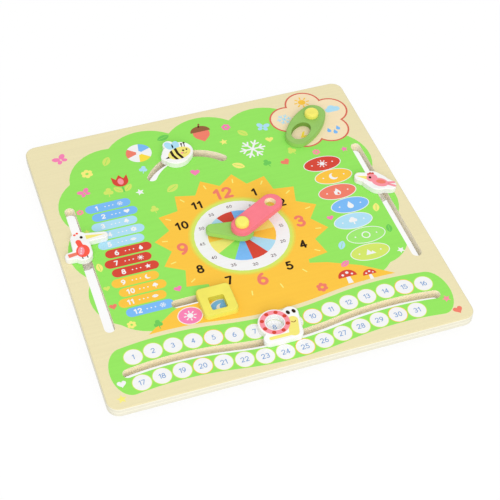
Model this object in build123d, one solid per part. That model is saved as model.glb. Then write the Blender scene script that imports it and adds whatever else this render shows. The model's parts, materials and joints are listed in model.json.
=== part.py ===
from build123d import *
import os
from math import acos, atan2, ceil, cos, hypot, pi, radians, sin, sqrt

# Wooden clock calendar: a square plywood panel that lies on four pads. Five
# figures slide in through-slots, two clock hands and a weather pointer turn on
# headed pegs. Origin: middle of the panel's outline, on the surface that the
# pads stand on. +X to the panel's right, +Y to its back edge, +Z up. Sizes in
# mm, angles in degrees.

# Panel
board_size = 300.0
board_t = 9.0
board_corner_r = 10.0
board_round = 1.2

# Pads under the corners
foot_d = 14.0
foot_h = 5.0
foot_bevel = 0.8
foot_inset = 15.0

# Running gap over and under the panel, and the gap round a glued or driven pin
glide = 0.3
seat = 0.05

# Slots: width, and the insets of their centre lines and ends from the edges
slot_w = 8.6
month_slot_inset = 20.7
weekday_slot_inset = 18.2
side_slot_front = 73.5
side_slot_back = 84.0
season_arc_x = -16.5
season_arc_back = 92.0
season_arc_r = 41.0
season_arc_from = 41.0
season_arc_to = 148.0
am_pm_slot_front = 85.5
am_pm_slot_x = -76.5
am_pm_slot_len = 45.5
day_slot_front = 29.65
day_slot_end = 18.5
day_wave_half = 90.0
day_wave_amp = 3.85

# Sliders: plate, dowel in the slot, retaining disc behind the panel, screw
slider_t = 5.5
figure_bevel = 0.6
frame_round = 1.2
inside_r = 1.2
peg_play = 1.0
peg_socket = 3.5
rear_disc_d = 18.0
rear_disc_t = 3.0
rear_disc_bevel = 0.5
screw_d = 3.0
screw_head_d = 6.0
screw_len = 12.0
screw_point = 2.5

# Month bird, laid out from its dowel
month_y = 12.0
month_belly_x = -1.2
month_belly_y = -4.8
month_belly_r = 7.9
month_head_x = -0.4
month_head_y = 12.0
month_head_r = 7.5
month_beak_x = 19.9
month_beak_y = 10.2
month_beak_root_r = 5.6
month_beak_tip_r = 3.6
month_tail_x = -12.6
month_tail_y = -5.0
month_tail_root_r = 5.2
month_tail_tip_r = 3.8

# Weekday bird, laid out from its dowel
weekday_y = 9.5
weekday_belly_x = -0.8
weekday_belly_y = -0.5
weekday_belly_r = 9.5
weekday_head_x = -4.3
weekday_head_y = 5.5
weekday_head_r = 9.0
weekday_beak_x = -13.1
weekday_beak_y = 10.8
weekday_beak_root_r = 7.0
weekday_beak_tip_r = 4.8
weekday_tail_x = 7.5
weekday_tail_y = -6.6
weekday_tail_root_r = 8.0
weekday_tail_tip_r = 5.6

# Season bee, laid out from its dowel
season_angle = 98.0
season_rump_x = -2.0
season_rump_y = -1.5
season_rump_r = 12.6
season_face_x = 2.5
season_face_y = 1.0
season_face_r = 11.4
season_wing_x = -5.5
season_wing_y = 11.5
season_wing_root_r = 7.0
season_wing_tip_r = 5.0
season_sting_x = -10.5
season_sting_y = -2.5
season_sting_root_r = 9.0
season_sting_tip_r = 5.5

# Morning and afternoon frame, laid out from its dowel
am_pm_from_end = 11.0
am_pm_w = 28.3
am_pm_d = 29.5
am_pm_corner_r = 4.0
am_pm_off_x = 0.4
am_pm_back = 5.25
am_pm_window_w = 13.2
am_pm_window_d = 13.6
am_pm_window_y = -12.9
am_pm_window_r = 1.5

# Day snail, laid out from its pin
day_x = -4.0
day_pin_d = 3.0
day_pin_play = 0.45
day_pin_head_d = 7.0
day_pin_head_t = 1.2
day_window_x = -2.2
day_window_y = 10.8
day_window_d = 14.7
day_shell_d = 27.0
day_sole_left = -11.0
day_sole_right = 11.5
day_sole_y = -2.7
day_sole_r = 4.9
day_head_x = 12.6
day_head_y = 16.6
day_head_r = 6.6

# Clock: place of the arbor on the panel, headed arbor, washer, hands
clock_x = 1.2
clock_y = -9.1
arbor_d = 7.0
arbor_play = 0.3
arbor_head_t = 4.4
arbor_head_round = 2.0
clock_head_d = 11.6
washer_d = 14.0
washer_t = 2.4
hand_t = 5.0
hand_round = 1.4
hour_root_r = 10.0
hour_reach = 25.0
hour_tip_r = 5.2
hour_angle = 160.0
minute_r = 9.3
minute_reach = 36.6
minute_hole_reach = 35.0
minute_hole_d = 9.6
minute_angle = 29.2

# Weather dial: place of its arbor from the right and back edges, egg pointer
weather_inset_x = 43.0
weather_inset_y = 42.0
weather_head_d = 12.6
pointer_t = 4.8
pointer_round = 1.4
pointer_len = 56.0
pointer_w = 28.2
pointer_end_r = 11.2
pointer_off = 12.8
pointer_angle = 225.6
pointer_window_len = 23.4
pointer_window_w = 15.4
pointer_window_end_r = 6.2
pointer_window_off = 22.9
pointer_window_round = 0.8

# Levels, from the surface up
edge = board_size / 2
board_top = foot_h + board_t
plate_z = board_top + glide
rear_top = foot_h - glide
rear_z = rear_top - rear_disc_t
peg_d = slot_w - peg_play


def stem(x0, y0, r0, x1, y1, r1):
    """Outline of a bar with round ends, drawn in along its outer tangents."""
    lead = atan2(y1 - y0, x1 - x0)
    lean = acos((r0 - r1) / hypot(x1 - x0, y1 - y0))

    def near(turn):
        return (x0 + r0 * cos(lead + turn), y0 + r0 * sin(lead + turn))

    def far(turn):
        return (x1 + r1 * cos(lead + turn), y1 + r1 * sin(lead + turn))

    return make_face(
        [
            Line(near(lean), far(lean)),
            ThreePointArc(far(lean), far(0), far(-lean)),
            Line(far(-lean), near(-lean)),
            ThreePointArc(near(-lean), near(pi), near(lean)),
        ]
    )


def oval(length, width, end_r):
    """Outline of an oval along X: two end arcs and two flatter flanks, all tangent."""
    a = length / 2
    b = width / 2
    run = a - end_r
    flank_r = (run**2 + b**2 - end_r**2) / (2 * (b - end_r))
    x = run + end_r * run / (flank_r - end_r)
    y = end_r * (flank_r - b) / (flank_r - end_r)
    return make_face(
        [
            ThreePointArc((x, -y), (a, 0), (x, y)),
            ThreePointArc((x, y), (0, b), (-x, y)),
            ThreePointArc((-x, y), (-a, 0), (-x, -y)),
            ThreePointArc((-x, -y), (0, -b), (x, -y)),
        ]
    )


def sheet(outline, thickness, z):
    """Sheet of a given thickness cut to an outline, its lower face at z."""
    return Pos(0, 0, z) * extrude(outline, thickness)


def upper_rim(solid):
    """Outer edges of a sheet's upper face."""
    return solid.faces().sort_by(Axis.Z)[-1].outer_wire().edges()


def figure(outline, z):
    """Slider sheet cut to a figure: inside corners left round by the cutter, upper rim bevelled."""
    blank = sheet(offset(offset(outline, inside_r), -inside_r), slider_t, z)
    return chamfer(upper_rim(blank), figure_bevel)


def turned(profile):
    """Solid turned about the Z axis from a profile of (radius, height) points."""
    line = Polyline(*[(r, 0, z) for r, z in profile], close=True)
    return revolve(make_face(line), Axis.Z)


def bar(d, z0, z1):
    """Round bar or bore on the Z axis between two levels."""
    return Pos(0, 0, z0) * Cylinder(d / 2, z1 - z0, align=(Align.CENTER, Align.CENTER, Align.MIN))


def wave_y(x):
    """Centre line of the day slot: a wave of tangent arcs with a trough at x = 0."""
    swing = ((day_wave_half / 2) ** 2 + day_wave_amp**2) / (2 * day_wave_amp)
    turn = round(x / day_wave_half)
    drop = swing - sqrt(swing**2 - (x - turn * day_wave_half) ** 2)
    side = -1 if turn % 2 == 0 else 1
    return day_slot_front - edge + side * (day_wave_amp - drop)


def wave_slot():
    """Day slot swept along the wave, with round ends."""
    end = edge - day_slot_end - slot_w / 2
    count = ceil(end / day_wave_half - 0.5)
    bends = [(i + 0.5) * day_wave_half for i in range(-count - 1, count + 1)]
    stops = [-end] + [x for x in bends if -end < x < end] + [end]
    arcs = []
    for x0, x1 in zip(stops, stops[1:]):
        through = [(x, wave_y(x)) for x in (x0, (x0 + x1) / 2, x1)]
        arcs.append(ThreePointArc(*through))
    return SlotArc(Wire(arcs), slot_w)


def straight_slot(x0, y0, x1, y1):
    """Straight slot between two end points, round ends inside them."""
    length = hypot(x1 - x0, y1 - y0)
    middle = Pos((x0 + x1) / 2, (y0 + y1) / 2)
    return middle * SlotOverall(length, slot_w, rotation=90 if y1 != y0 else 0)


# Places of the slots and arbors on the panel
month_x = month_slot_inset - edge
weekday_x = edge - weekday_slot_inset
season_arc_y = edge - season_arc_back
season_x = season_arc_x + season_arc_r * cos(radians(season_angle))
season_y = season_arc_y + season_arc_r * sin(radians(season_angle))
am_pm_y = am_pm_slot_front - edge
am_pm_x = am_pm_slot_x + am_pm_slot_len - am_pm_from_end
day_y = wave_y(day_x) + slot_w / 2 - day_pin_d / 2 - day_pin_play
weather_x = edge - weather_inset_x
weather_y = edge - weather_inset_y

# Panel with its rounded rim, five slots and two arbor holes
board = extrude(RectangleRounded(board_size, board_size, board_corner_r), board_t)
board_faces = board.faces().sort_by(Axis.Z)
board = fillet(board_faces[-1].edges() + board_faces[0].edges(), board_round)
season_line = CenterArc(
    (season_arc_x, season_arc_y), season_arc_r, season_arc_from, season_arc_to - season_arc_from
)
cuts = [
    straight_slot(month_x, side_slot_front - edge, month_x, edge - side_slot_back),
    straight_slot(weekday_x, side_slot_front - edge, weekday_x, edge - side_slot_back),
    straight_slot(am_pm_slot_x, am_pm_y, am_pm_slot_x + am_pm_slot_len, am_pm_y),
    SlotArc(season_line, slot_w),
    wave_slot(),
    Pos(clock_x, clock_y) * Circle(arbor_d / 2 + seat),
    Pos(weather_x, weather_y) * Circle(arbor_d / 2 + seat),
]
for cut in cuts:
    board -= extrude(cut, board_t)
board = Pos(0, 0, foot_h) * board

# Pad: short round block, its lower rim bevelled
foot = bar(foot_d, 0, foot_h)
foot = chamfer(foot.edges().sort_by(Axis.Z)[0], foot_bevel)
foot_at = edge - foot_inset

# Slider hardware on the Z axis
peg_top = plate_z + peg_socket
peg_core = bar(screw_d + 2 * seat, rear_top, rear_z + screw_len + seat)
peg = bar(peg_d, rear_top, peg_top) - peg_core
peg_hole = bar(peg_d + 2 * seat, plate_z, peg_top)
head_t = (screw_head_d - screw_d) / 2
screw = turned(
    [
        (0, rear_z),
        (screw_head_d / 2, rear_z),
        (screw_d / 2, rear_z + head_t),
        (screw_d / 2, rear_z + screw_len - screw_point),
        (0, rear_z + screw_len),
    ]
)
disc = bar(rear_disc_d, rear_z, rear_top)
disc = chamfer(disc.edges().sort_by(Axis.Z)[0], rear_disc_bevel)
sink = turned(
    [
        (0, rear_z),
        (screw_head_d / 2 + seat, rear_z),
        (screw_d / 2 + seat, rear_z + head_t),
        (screw_d / 2 + seat, rear_top),
        (0, rear_top),
    ]
)
rear_disc = disc - sink

# Month bird, its beak pointing right
month = stem(month_belly_x, month_belly_y, month_belly_r, month_head_x, month_head_y, month_head_r)
month += stem(month_head_x, month_head_y, month_beak_root_r, month_beak_x, month_beak_y, month_beak_tip_r)
month += stem(
    month_belly_x, month_belly_y, month_tail_root_r, month_tail_x, month_tail_y, month_tail_tip_r
)
month_plate = figure(month, plate_z) - peg_hole

# Weekday bird, its beak pointing left and up
weekday = stem(
    weekday_belly_x, weekday_belly_y, weekday_belly_r, weekday_head_x, weekday_head_y, weekday_head_r
)
weekday += stem(
    weekday_head_x, weekday_head_y, weekday_beak_root_r, weekday_beak_x, weekday_beak_y, weekday_beak_tip_r
)
weekday += stem(
    weekday_belly_x,
    weekday_belly_y,
    weekday_tail_root_r,
    weekday_tail_x,
    weekday_tail_y,
    weekday_tail_tip_r,
)
weekday_plate = figure(weekday, plate_z) - peg_hole

# Season bee with a raised wing
season = stem(season_rump_x, season_rump_y, season_rump_r, season_face_x, season_face_y, season_face_r)
season += stem(0, 0, season_wing_root_r, season_wing_x, season_wing_y, season_wing_tip_r)
season += stem(
    season_rump_x, season_rump_y, season_sting_root_r, season_sting_x, season_sting_y, season_sting_tip_r
)
season_plate = figure(season, plate_z) - peg_hole

# Morning and afternoon frame with a square window
am_pm = Pos(am_pm_off_x, am_pm_back - am_pm_d / 2) * RectangleRounded(am_pm_w, am_pm_d, am_pm_corner_r)
am_pm_window = Pos(0, am_pm_window_y, plate_z) * extrude(
    RectangleRounded(am_pm_window_w, am_pm_window_d, am_pm_window_r), slider_t
)
am_pm_plate = fillet(upper_rim(sheet(am_pm, slider_t, plate_z)), frame_round) - am_pm_window - peg_hole

# Day snail: round shell with the day window, sole and raised head
day = Pos(day_window_x, day_window_y) * Circle(day_shell_d / 2)
day += stem(day_sole_left, day_sole_y, day_sole_r, day_sole_right, day_sole_y, day_sole_r)
day += stem(day_sole_right, day_sole_y, day_sole_r, day_head_x, day_head_y, day_head_r)
day_window = Pos(day_window_x, day_window_y) * bar(day_window_d, plate_z, plate_z + slider_t)
day_bore = bar(day_pin_d + 2 * seat, rear_z, peg_top)
day_plate = figure(day, plate_z) - day_window - day_bore

# Day pin: slim rivet, its flat head let into the back of its disc
day_pin = bar(day_pin_head_d, rear_z, rear_z + day_pin_head_t) + bar(day_pin_d, rear_z, peg_top)
day_sink = bar(day_pin_head_d + 2 * seat, rear_z, rear_z + day_pin_head_t)
day_rear_disc = disc - day_bore - day_sink

# Clock: leaf-shaped hour hand on a washer, under a straight minute hand with a finger hole
hour_z = board_top + washer_t + glide
minute_z = hour_z + hand_t + glide
arbor_hole = bar(arbor_d + 2 * arbor_play, 0, minute_z + hand_t)
clock_washer = bar(washer_d, board_top, board_top + washer_t) - bar(arbor_d + 2 * seat, 0, hour_z)
hour = stem(0, 0, hour_root_r, hour_reach, 0, hour_tip_r)
hour_hand = fillet(upper_rim(sheet(hour, hand_t, hour_z)), hand_round) - arbor_hole
minute = stem(0, 0, minute_r, minute_reach, 0, minute_r)
minute_hand = fillet(upper_rim(sheet(minute, hand_t, minute_z)), hand_round) - arbor_hole
minute_hand -= Pos(minute_hole_reach, 0) * bar(minute_hole_d, minute_z, minute_z + hand_t)


def arbor(head_d, head_z):
    """Arbor glued into the panel, its domed head at a given level."""
    head = bar(head_d, head_z, head_z + arbor_head_t)
    head = fillet(head.edges().sort_by(Axis.Z)[-1], arbor_head_round)
    return head + bar(arbor_d, foot_h, head_z)


# Weather pointer: egg-shaped plate with an egg-shaped window, its upper rims rounded over
egg = Pos(pointer_off, 0) * oval(pointer_len, pointer_w, pointer_end_r)
pointer = fillet(upper_rim(sheet(egg, pointer_t, plate_z)), pointer_round) - arbor_hole
pointer_window = oval(pointer_window_len, pointer_window_w, pointer_window_end_r)
pointer -= Pos(pointer_window_off, 0) * sheet(pointer_window, pointer_t, plate_z)
window_rim = pointer.faces().sort_by(Axis.Z)[-1].inner_wires().sort_by(Axis.X)[-1]
pointer = fillet(window_rim.edges(), pointer_window_round)

at_month = Pos(month_x, month_y)
at_weekday = Pos(weekday_x, weekday_y)
at_season = Pos(season_x, season_y)
at_am_pm = Pos(am_pm_x, am_pm_y)
at_day = Pos(day_x, day_y)
at_clock = Pos(clock_x, clock_y)
at_weather = Pos(weather_x, weather_y)

nodes = {
    "board": board,
    "foot_front_left": Pos(-foot_at, -foot_at) * foot,
    "foot_front_right": Pos(foot_at, -foot_at) * foot,
    "foot_back_left": Pos(-foot_at, foot_at) * foot,
    "foot_back_right": Pos(foot_at, foot_at) * foot,
    "clock_peg": at_clock * arbor(clock_head_d, minute_z + hand_t + glide),
    "clock_washer": at_clock * clock_washer,
    "hour_hand": at_clock * Rot(0, 0, hour_angle) * hour_hand,
    "minute_hand": at_clock * Rot(0, 0, minute_angle) * minute_hand,
    "weather_peg": at_weather * arbor(weather_head_d, plate_z + pointer_t + glide),
    "weather_pointer": at_weather * Rot(0, 0, pointer_angle) * pointer,
    "month_plate": at_month * month_plate,
    "weekday_plate": at_weekday * weekday_plate,
    "season_plate": at_season * season_plate,
    "am_pm_plate": at_am_pm * am_pm_plate,
    "day_plate": at_day * day_plate,
    "day_pin": at_day * day_pin,
    "day_rear_disc": at_day * day_rear_disc,
}
sliders = {"month": at_month, "weekday": at_weekday, "season": at_season, "am_pm": at_am_pm}
for name, place in sliders.items():
    nodes[name + "_peg"] = place * peg
    nodes[name + "_rear_disc"] = place * rear_disc
    nodes[name + "_screw"] = place * screw

os.makedirs("parts", exist_ok=True)
for name, solid in nodes.items():
    solid.label = name
    export_step(solid, os.path.join("parts", name + ".step"))
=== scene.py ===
import json
from collections import defaultdict
from functools import cache
from math import acos, ceil, cos, degrees, hypot, pi, radians, sin

import bpy
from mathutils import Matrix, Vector
from mathutils.geometry import delaunay_2d_cdt


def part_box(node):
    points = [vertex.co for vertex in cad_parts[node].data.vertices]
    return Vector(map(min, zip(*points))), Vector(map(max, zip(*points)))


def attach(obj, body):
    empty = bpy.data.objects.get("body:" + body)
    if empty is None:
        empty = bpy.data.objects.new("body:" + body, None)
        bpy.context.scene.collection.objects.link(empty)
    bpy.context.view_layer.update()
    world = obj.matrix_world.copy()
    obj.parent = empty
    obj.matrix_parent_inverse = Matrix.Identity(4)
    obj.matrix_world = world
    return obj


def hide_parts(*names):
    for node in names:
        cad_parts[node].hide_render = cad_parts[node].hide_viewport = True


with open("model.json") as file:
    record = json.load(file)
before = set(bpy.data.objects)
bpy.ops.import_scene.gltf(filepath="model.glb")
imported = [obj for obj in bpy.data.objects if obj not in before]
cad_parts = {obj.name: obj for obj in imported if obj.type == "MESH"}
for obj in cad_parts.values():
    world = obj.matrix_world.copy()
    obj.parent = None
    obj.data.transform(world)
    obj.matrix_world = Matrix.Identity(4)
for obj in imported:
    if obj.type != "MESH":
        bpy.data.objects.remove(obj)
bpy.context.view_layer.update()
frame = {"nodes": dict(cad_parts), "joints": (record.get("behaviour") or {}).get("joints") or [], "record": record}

# Sizes and places are in mm in the part's own frame, angles in degrees. Meshes are in metres.
MM = 0.001

# Ink colours, as sRGB bytes
COLOURS = {
    "green": (152, 233, 99),
    "spring": (162, 236, 116),
    "leaf": (112, 205, 92),
    "lime": (214, 234, 108),
    "citron": (228, 228, 92),
    "honey": (240, 212, 80),
    "lemon": (250, 240, 128),
    "yellow": (255, 226, 70),
    "butter": (248, 236, 124),
    "orange": (255, 201, 70),
    "coral": (243, 130, 108),
    "scarlet": (253, 95, 76),
    "red": (217, 74, 57),
    "brick": (221, 112, 92),
    "pink": (250, 133, 184),
    "rose": (252, 152, 164),
    "blue": (126, 189, 248),
    "sky": (178, 226, 247),
    "ink_blue": (126, 164, 213),
    "white": (246, 246, 246),
    "peach": (250, 229, 190),
    "brown": (150, 96, 62),
    "grey": (112, 94, 98),
    "black": (46, 30, 14),
}

# A print is a thin closed sheet, sunk a little in the surface. Each layer stands a step higher.
PRINT_SINK = 0.01
PRINT_STEP = 0.02

# A round outline has a point every few degrees. Points as near as SAME_POINT are one,
# and LEAST is too small to matter.
ARC_STEP = 10.0
SAME_POINT = 1e-3
LEAST = 1e-6


def centre(node):
    """Middle of a node's box, in mm."""
    low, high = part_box(node)
    return (low + high) / 2 / MM


def levels(node):
    """Levels of a node's lower and upper faces, in mm."""
    return [corner.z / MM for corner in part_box(node)]


def joint_place(name):
    """Point in plan that a joint turns about, in mm."""
    joint = next(j for j in frame["joints"] if j["name"] == name)
    return joint["pos_m"][0] / MM, joint["pos_m"][1] / MM


def opening_place(name):
    """Middle in plan of one of the record's openings, in mm."""
    opening = next(o for o in frame["record"]["physics"]["openings"] if o["name"] == name)
    low, high = opening["box_m"]
    return (low[0] + high[0]) / 2 / MM, (low[1] + high[1]) / 2 / MM


CLOCK = joint_place("hour_hand_turn")
WEATHER = joint_place("weather_turn")
SEASONS = joint_place("season_swing")


# Outlines: lists of points in plan
def arc(x, y, r, start, end, ry=None):
    """Points along an arc of a circle or an upright ellipse, both ends included."""
    count = max(2, ceil(abs(end - start) / ARC_STEP))
    turns = [radians(start + (end - start) * i / count) for i in range(count + 1)]
    return [(x + r * cos(t), y + (ry or r) * sin(t)) for t in turns]


def circle(x, y, r, ry=None):
    return arc(x, y, r, 0, 360, ry)[:-1]


def oval(x, y, rx, ry, turn=0.0):
    return moved([circle(0, 0, rx, ry)], x, y, 1, turn)[0]


def polar(x, y, r, turn):
    return x + r * cos(radians(turn)), y + r * sin(radians(turn))


def direction(a, b):
    """Heading from one point to another."""
    heading = Vector((1, 0)).angle_signed(Vector((b[0] - a[0], b[1] - a[1])))
    return -degrees(heading)


def stroke(points, width):
    """Outline of a line of one width along points, with round ends."""
    left, right = [], []
    for i, (x, y) in enumerate(points):
        x0, y0 = points[max(i - 1, 0)]
        x1, y1 = points[min(i + 1, len(points) - 1)]
        run = hypot(x1 - x0, y1 - y0)
        nx, ny = (y0 - y1) / run * width / 2, (x1 - x0) / run * width / 2
        left.append((x + nx, y + ny))
        right.append((x - nx, y - ny))
    heading = direction(points[-1], left[-1])
    end_cap = arc(*points[-1], width / 2, heading, heading - 180)
    heading = direction(points[0], right[0])
    start_cap = arc(*points[0], width / 2, heading, heading - 180)
    return left + end_cap[1:-1] + right[::-1] + start_cap[1:-1]


def moved(loops, x, y, size=1.0, turn=0.0):
    """Outlines scaled, turned and then moved."""
    c, s = size * cos(radians(turn)), size * sin(radians(turn))
    return [[(x + c * px - s * py, y + s * px + c * py) for px, py in loop] for loop in loops]


def span_of(loops):
    """Least and greatest x, then least and greatest y, of some outlines."""
    xs, ys = zip(*(point for loop in loops for point in loop))
    return min(xs), max(xs), min(ys), max(ys)


def inside(point, loop):
    x, y = point
    found = False
    x0, y0 = loop[-1]
    for x1, y1 in loop:
        if (y0 > y) != (y1 > y) and x < x0 + (x1 - x0) * (y - y0) / (y1 - y0):
            found = not found
        x0, y0 = x1, y1
    return found


def fill(add, cut=(), within=()):
    """Triangles of the area in any add outline, in no cut outline and in every within outline."""
    points, edges = [], []
    for loop in [*add, *cut, *within]:
        first = len(points)
        points += [Vector(p) for p in loop]
        edges += [(first + i, first + (i + 1) % len(loop)) for i in range(len(loop))]
    flat, _, faces, *_ = delaunay_2d_cdt(points, edges, [], 1, SAME_POINT, False)
    kept = []
    for face in faces:
        middle = sum((flat[i] for i in face), Vector((0, 0))) / len(face)
        wanted = any(inside(middle, loop) for loop in add)
        wanted = wanted and not any(inside(middle, loop) for loop in cut)
        if wanted and all(inside(middle, loop) for loop in within):
            kept.append(face)
    return flat, kept


def rim_of(faces):
    """Edges that only one of some faces has, each in that face's sense."""
    rim = {}
    for face in faces:
        for a, b in zip(face, [*face[1:], face[0]]):
            if (b, a) in rim:
                del rim[b, a]
            else:
                rim[a, b] = True
    return rim


def add_sheet(mesh, area, low, high):
    """Adds a closed sheet over an area, between two levels, to a (points, faces) pair."""
    points, faces = mesh
    flat, triangles = area
    used = sorted({i for t in triangles for i in t})
    lower = {i: len(points) + n for n, i in enumerate(used)}
    upper = {i: len(points) + len(used) + n for n, i in enumerate(used)}
    points += [(flat[i].x, flat[i].y, low) for i in used]
    points += [(flat[i].x, flat[i].y, high) for i in used]
    for t in triangles:
        faces.append([upper[i] for i in t])
        faces.append([lower[i] for i in reversed(t)])
    for a, b in rim_of(triangles):
        faces.append([lower[a], lower[b], upper[b], upper[a]])


def add_object(name, data):
    piece = bpy.data.objects.new(name, data)
    bpy.context.scene.collection.objects.link(piece)
    return piece


def build(name, mesh, body, material):
    """Makes an object from a (points, faces) pair in mm and rides it on a body."""
    points, faces = mesh
    data = bpy.data.meshes.new(name)
    data.from_pydata([[c * MM for c in p] for p in points], [], faces)
    data.validate()
    data.materials.append(material)
    piece = add_object(name, data)
    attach(piece, body)
    return piece


# Materials. Noise lies mostly between two values. A surface counts as a wall where
# it faces up by less than a share, on a pierced plate and on plywood.
NOISE_LOW, NOISE_HIGH = 0.3, 0.7
PLATE_WALL, PLY_WALL = 0.5, 0.6
FULL, NONE = (255, 255, 255), (0, 0, 0)


def linear(colour):
    """sRGB bytes as the linear colour that a shader socket takes."""
    parts = [c / 255 for c in colour]
    return [c / 12.92 if c <= 0.04045 else ((c + 0.055) / 1.055) ** 2.4 for c in parts] + [1.0]


def shade(colour, amount):
    """A colour made darker, or lighter where the amount is above 1."""
    return tuple(min(255, c * amount) for c in colour)


class Shader:
    """A new material, or a world, with short ways to add nodes to it."""

    def __init__(self, name, kind=bpy.data.materials, surface="Principled BSDF"):
        self.material = kind.new(name)
        self.material.use_nodes = True
        self.tree = self.material.node_tree
        self.surface = self.tree.nodes[surface]
        self.coat = None

    def feed(self, socket, value):
        """Links a socket to another one, or sets its value."""
        if isinstance(value, bpy.types.NodeSocket):
            self.tree.links.new(value, socket)
        else:
            socket.default_value = value

    def set(self, node=None, **inputs):
        """Feeds sockets of a node, or else of the surface."""
        for key, value in inputs.items():
            self.feed((node or self.surface).inputs[key.replace("_", " ")], value)

    def add(self, kind, out=0, **inputs):
        node = self.tree.nodes.new("ShaderNode" + kind)
        self.set(node, **inputs)
        return node.outputs[out]

    def math(self, operation, *values):
        node = self.tree.nodes.new("ShaderNodeMath")
        node.operation = operation
        for socket, value in zip(node.inputs, values):
            self.feed(socket, value)
        return node.outputs[0]

    def ramp(self, factor, *stops):
        """Colours over a 0 to 1 factor, from (place, sRGB colour) stops."""
        node = self.tree.nodes.new("ShaderNodeValToRGB")
        while len(node.color_ramp.elements) < len(stops):
            node.color_ramp.elements.new(1.0)
        for element, (place, colour) in zip(node.color_ramp.elements, stops):
            element.position = place
            element.color = linear(colour)
        self.feed(node.inputs[0], factor)
        return node.outputs[0]

    def tint(self, noise, tone, dark, pale):
        """A tone that varies with a noise between two shares of itself."""
        return self.ramp(noise, (NOISE_LOW, shade(tone, dark)), (NOISE_HIGH, shade(tone, pale)))

    def mix(self, factor, first, second):
        return self.add("MixRGB", Fac=factor, Color1=first, Color2=second)

    def deepen(self, coat, where, tone, share):
        """A coat with a share of a tone in the place where a factor is 1."""
        return self.mix(where, coat, linear(shade(tone, share)))

    def grain(self, length, width, axis=0, detail=4.0):
        """Noise drawn out into streaks of a length and a width in mm, along one axis."""
        scale = [1 / (width * MM)] * 3
        scale[axis] = 1 / (length * MM)
        drawn = self.add("Mapping", Vector=self.add("TexCoord", out="Object"), Scale=scale)
        return self.add("TexNoise", Vector=drawn, Scale=1.0, Detail=detail)

    def spread(self, noise, low, high):
        """A noise brought to a range."""
        span = {"From_Min": NOISE_LOW, "From_Max": NOISE_HIGH, "To_Min": low, "To_Max": high}
        return self.add("MapRange", Value=noise, **span)

    def bump(self, height, depth, strength):
        """Relief of a depth in mm."""
        relief = self.add("Bump", out="Normal", Height=height, Distance=depth * MM, Strength=strength)
        self.set(Normal=relief)

    def place(self, axis):
        """Place along an axis of the part's frame, in metres."""
        return self.add("SeparateXYZ", out=axis, Vector=self.add("TexCoord", out="Object"))

    def facing(self, axis):
        """How far the surface faces along an axis, either way, from 0 to 1."""
        normal = self.add("NewGeometry", out="Normal")
        return self.math("ABSOLUTE", self.add("SeparateXYZ", out=axis, Vector=normal))

    def near(self, spot, reach):
        """1 on the walls within a reach in mm of a spot in plan, else 0."""
        squares = []
        for axis, middle in zip("XY", spot):
            off = self.math("SUBTRACT", self.place(axis), middle * MM)
            squares.append(self.math("MULTIPLY", off, off))
        gap = self.math("SQRT", self.math("ADD", *squares))
        wall = self.math("LESS_THAN", self.facing("Z"), PLATE_WALL)
        return self.math("MULTIPLY", wall, self.math("LESS_THAN", gap, reach * MM))


INK_GLOSS = 0.1


@cache
def ink(colour):
    """Screen-printed ink on wood: the grain shows through faintly."""
    shader = Shader("ink_" + colour)
    streaks = shader.grain(length=45, width=2.2)
    specks = shader.grain(length=0.7, width=0.7, detail=2.0)
    shader.set(
        Base_Color=shader.tint(streaks, COLOURS[colour], dark=0.992, pale=1.008),
        Roughness=shader.spread(specks, low=0.5, high=0.64),
        Specular_IOR_Level=INK_GLOSS,
    )
    shader.bump(specks, depth=0.01, strength=0.25)
    return shader.material


# Plywood: shades are shares of its tone, and the foot, lower and upper levels are shares of its thickness
WOOD_GLOSS = 0.3
# The rim's share is painted shade on the board's rounded rim, against the lamp's highlight there
CLOUD_SHADE, PORE_SHADE, RIM_PAINTED_SHADE = 0.985, 0.82, 0.94
PORE_FROM, PORE_STRENGTH, PORE_RELIEF = 0.66, 0.14, -0.4
RIM_FROM = 0.85
PLY_SHADE, GLUE_SHADE, FIBRE_SHADE = 0.965, 0.87, 0.92
# The foot and lower shares are painted shade down the walls of cut-outs
FOOT_PAINTED_SHADE, LOWER_PAINTED_SHADE = 0.93, 0.98
FOOT_TO, LOWER_TO, UPPER_FROM = 0.10, 0.46, 0.54

# Joints of the plies: where the lower ply ends, the glue line, where the upper ply starts
PLY_JOINTS = [(0.14, 0.155, 0.175), (0.36, 0.375, 0.395), (0.605, 0.625, 0.64), (0.825, 0.845, 0.86)]

# Walls of the panel further than this from its middle are its outer edge
EDGE_FROM = 142.0


def sanded_face(shader, tone, streaks, pores):
    """Face veneer: streaks and clouds along the grain, dark pores, painted shade on the rounded rim."""
    clouds = shader.grain(length=120, width=34, detail=2.0)
    skin = shader.tint(streaks, tone, dark=0.988, pale=1.01)
    skin = shader.deepen(skin, shader.spread(clouds, low=0.0, high=0.5), tone, CLOUD_SHADE)
    pore = shader.math("GREATER_THAN", pores, PORE_FROM)
    skin = shader.deepen(skin, shader.math("MULTIPLY", pore, PORE_STRENGTH), tone, PORE_SHADE)
    # Painted shade: the rounded rim is a little deeper than the face
    rounded = shader.ramp(shader.facing("Z"), (RIM_FROM, FULL), (1.0, NONE))
    return shader.deepen(skin, rounded, tone, RIM_PAINTED_SHADE)


def ply_bands(shader, height, tone):
    """Outer edge: pale and darker plies by turns, with a glue line at each joint."""
    plies = [tone, shade(tone, PLY_SHADE)]
    stops = [(0.0, tone)]
    for i, (lower, glue, upper) in enumerate(PLY_JOINTS):
        stops += [(lower, plies[i % 2]), (glue, shade(tone, GLUE_SHADE)), (upper, plies[(i + 1) % 2])]
    stops.append((1.0, tone))
    fibres = shader.grain(length=5, width=0.35, detail=3.0)
    where = shader.spread(fibres, low=0.0, high=0.25)
    return shader.deepen(shader.ramp(height, *stops), where, tone, FIBRE_SHADE)


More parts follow.
